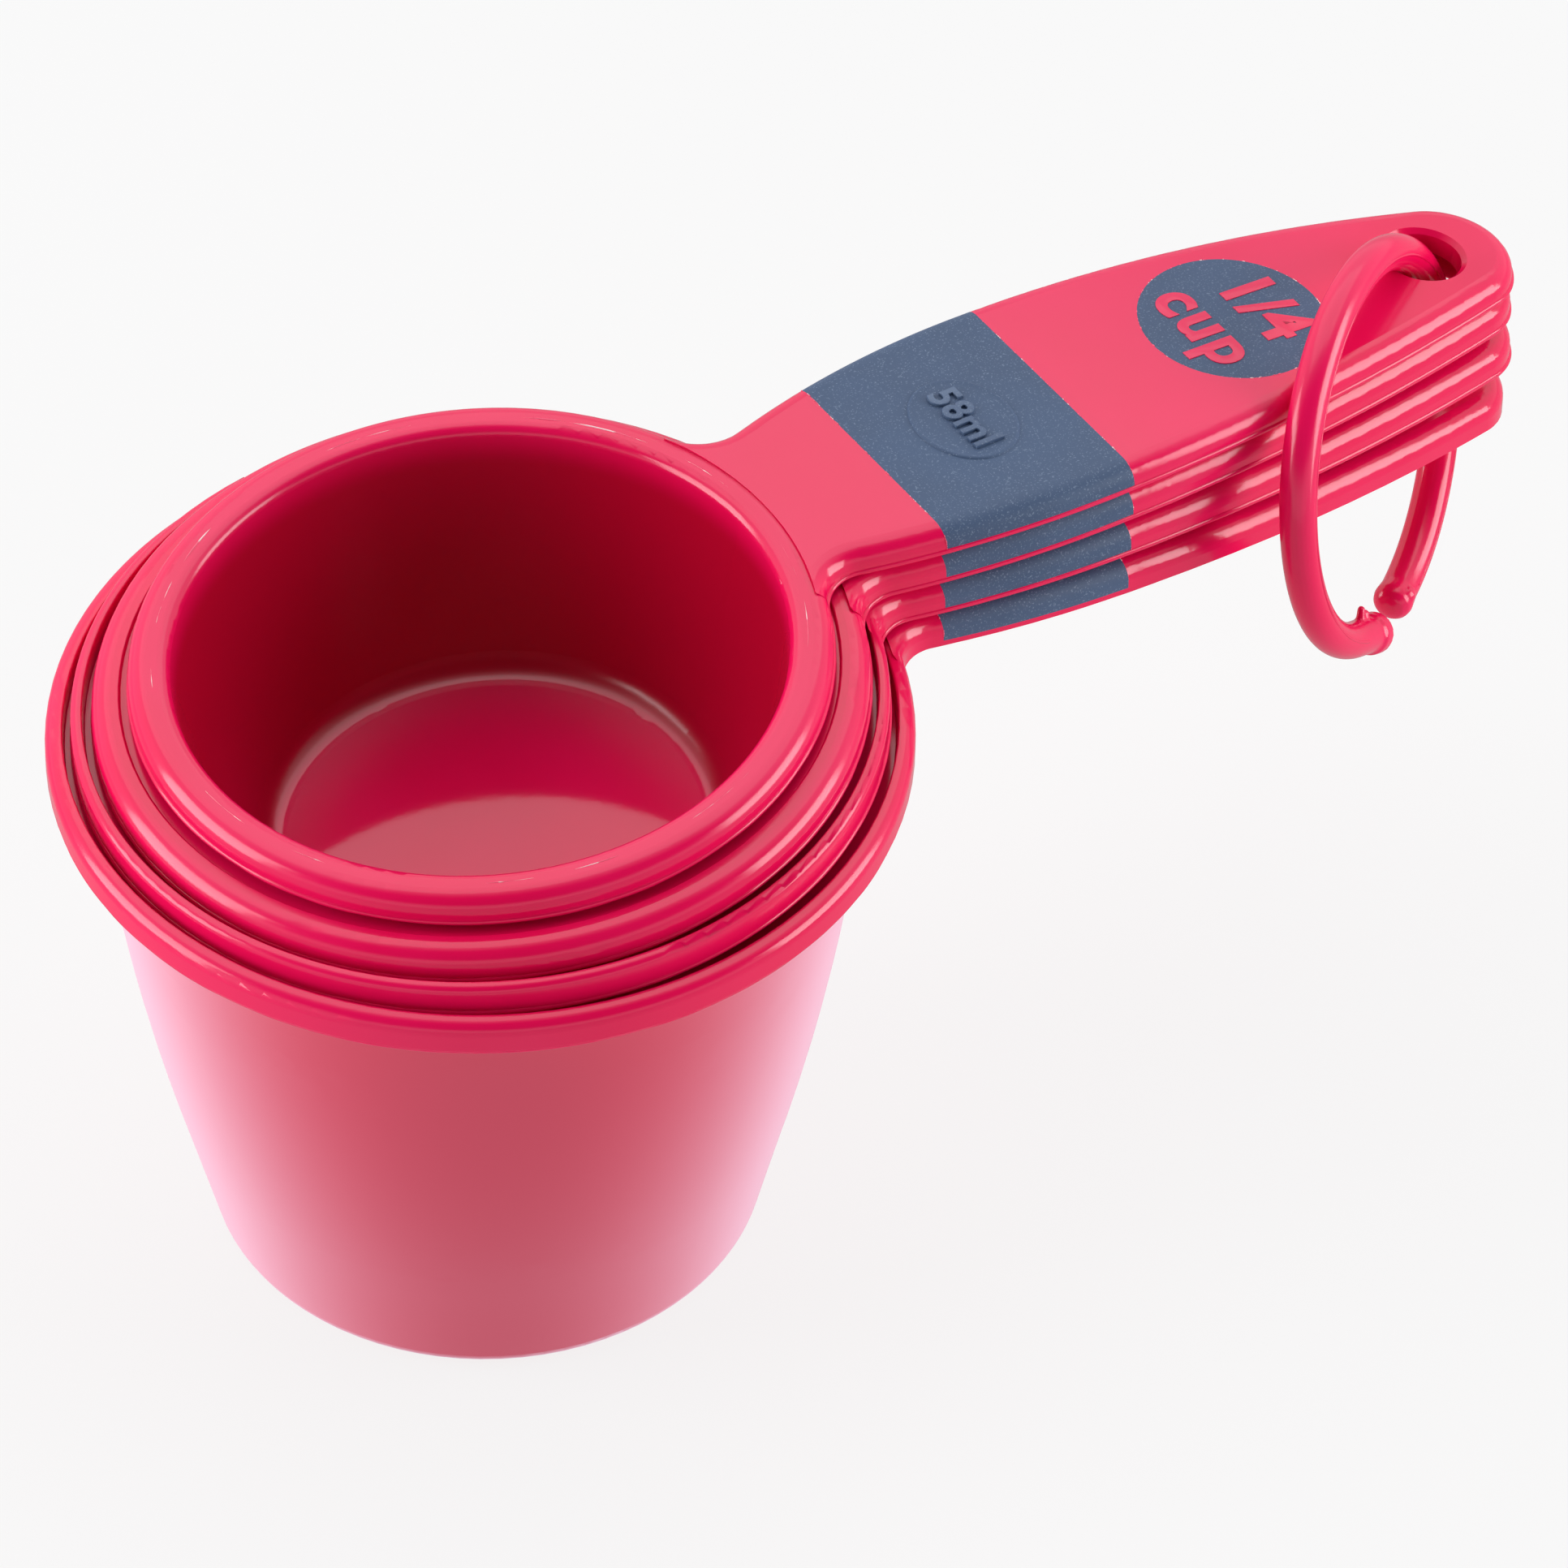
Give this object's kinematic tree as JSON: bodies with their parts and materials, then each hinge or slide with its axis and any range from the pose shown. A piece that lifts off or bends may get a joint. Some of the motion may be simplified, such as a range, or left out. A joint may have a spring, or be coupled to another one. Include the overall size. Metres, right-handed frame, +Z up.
{
  "type": "measuring cup set",
  "caption": "Nested measuring cups with flat lips, drooping handles, soft grip bands and label discs, held together by a split snap ring through the handle holes.",
  "frame": {"origin": "centre of the underside of the largest cup, where it stands", "axes": "+Z up out of the bowls, +X along the handles towards the ring, +Y completes the right-handed frame"},
  "size_m": [0.1694, 0.0864, 0.0793],
  "materials": {
    "cup_plastic": "satin gloss",
    "grip_rubber": "matte, fine grain",
    "ring_plastic": "gloss"
  },
  "bodies": {
    "full_cup": {"cup_full": "cup_plastic", "grip_band_full": "grip_rubber", "label_disc_full": "grip_rubber"},
    "half_cup": {"cup_half": "cup_plastic", "grip_band_half": "grip_rubber", "label_disc_half": "grip_rubber"},
    "third_cup": {"cup_third": "cup_plastic", "grip_band_third": "grip_rubber", "label_disc_third": "grip_rubber"},
    "quarter_cup": {"cup_quarter": "cup_plastic", "grip_band_quarter": "grip_rubber", "label_disc_quarter": "grip_rubber"},
    "ring": {"snap_ring": "ring_plastic"}
  },
  "joints": [
    {"name": "half_lift", "type": "slide", "parent": "full_cup", "child": "half_cup", "axis": [0, 0, 1], "range_m": [0, 0.046], "deforming": ["snap_ring"]},
    {"name": "third_lift", "type": "slide", "parent": "half_cup", "child": "third_cup", "axis": [0, 0, 1], "range_m": [0, 0.036], "deforming": ["snap_ring"]},
    {"name": "quarter_lift", "type": "slide", "parent": "third_cup", "child": "quarter_cup", "axis": [0, 0, 1], "range_m": [0, 0.034], "deforming": ["snap_ring"]},
    {"name": "ring_turn", "type": "hinge", "parent": "quarter_cup", "child": "ring", "pos_m": [0.10215, -0.01065, 0.05745], "axis": [-0.5402, 0.8223, -0.1788], "range_deg": [-20, 25]}
  ]
}
